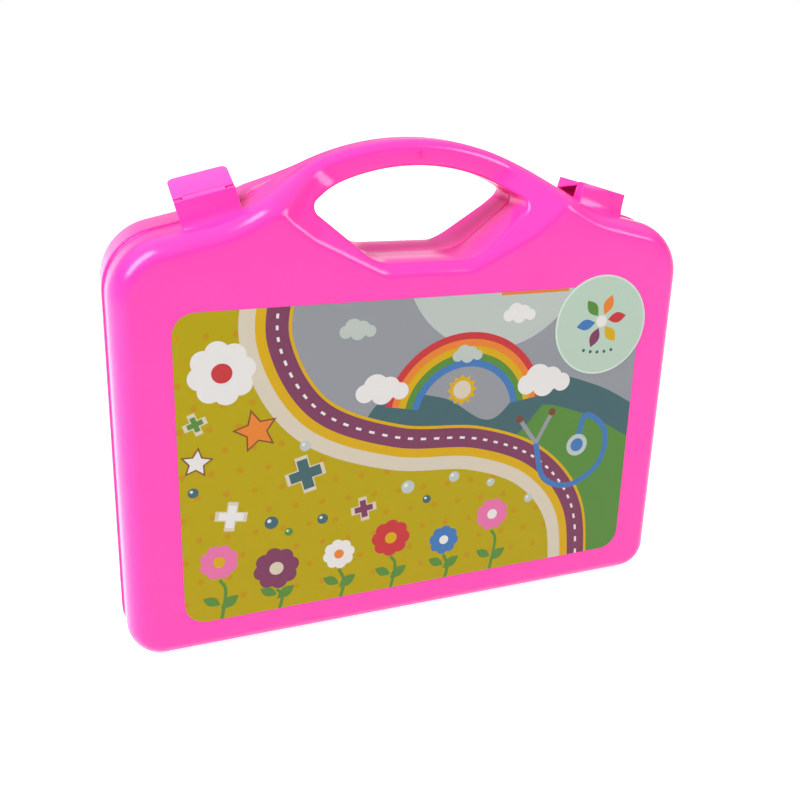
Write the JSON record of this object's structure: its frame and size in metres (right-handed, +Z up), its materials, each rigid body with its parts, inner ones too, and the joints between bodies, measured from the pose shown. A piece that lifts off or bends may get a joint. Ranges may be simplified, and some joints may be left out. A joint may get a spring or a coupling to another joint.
{
  "type": "toy doctor case",
  "caption": "Child's carry case: two hollow moulded half shells hinged along the foot, with an arched two-part handle, flap clips on the shoulders and printed stickers on the face.",
  "frame": {"origin": "centre of the case's footprint, on the surface that the foot stands on", "axes": "+X along the case's width, to the right when its labelled face is seen; -Y out of the labelled face; +Z up towards the handle"},
  "size_m": [0.2764, 0.0644, 0.2325],
  "materials": {
    "shell_pink": "glossy injection-moulded polypropylene, hot pink",
    "clip_pink": "glossy injection-moulded polypropylene, slightly paler pink",
    "pin_steel": "drawn steel wire",
    "label_film": "printed and laminated paper label",
    "sticker_film": "printed and laminated round label"
  },
  "bodies": {
    "back_half": {"back_shell": "shell_pink", "hinge_pin_left": "pin_steel", "hinge_pin_right": "pin_steel"},
    "front_half": {"front_shell": "shell_pink", "front_label": "label_film", "round_sticker": "sticker_film"},
    "flap_left": {"clip_left": "clip_pink"},
    "flap_right": {"clip_right": "clip_pink"}
  },
  "joints": [
    {"name": "case_opens", "type": "hinge", "parent": "back_half", "child": "front_half", "pos_m": [0, -0.0033, 0.0032], "axis": [1, 0, 0], "range_deg": [0, 135]},
    {"name": "left_clip_turns", "type": "hinge", "parent": "front_half", "child": "flap_left", "pos_m": [-0.09546, -0.01351, 0.20812], "axis": [0.9636, -0.0698, 0.2582], "range_deg": [-19, 76]},
    {"name": "right_clip_turns", "type": "hinge", "parent": "front_half", "child": "flap_right", "pos_m": [0.09546, -0.01351, 0.20812], "axis": [0.9636, 0.0698, -0.2582], "range_deg": [0, 95]}
  ]
}
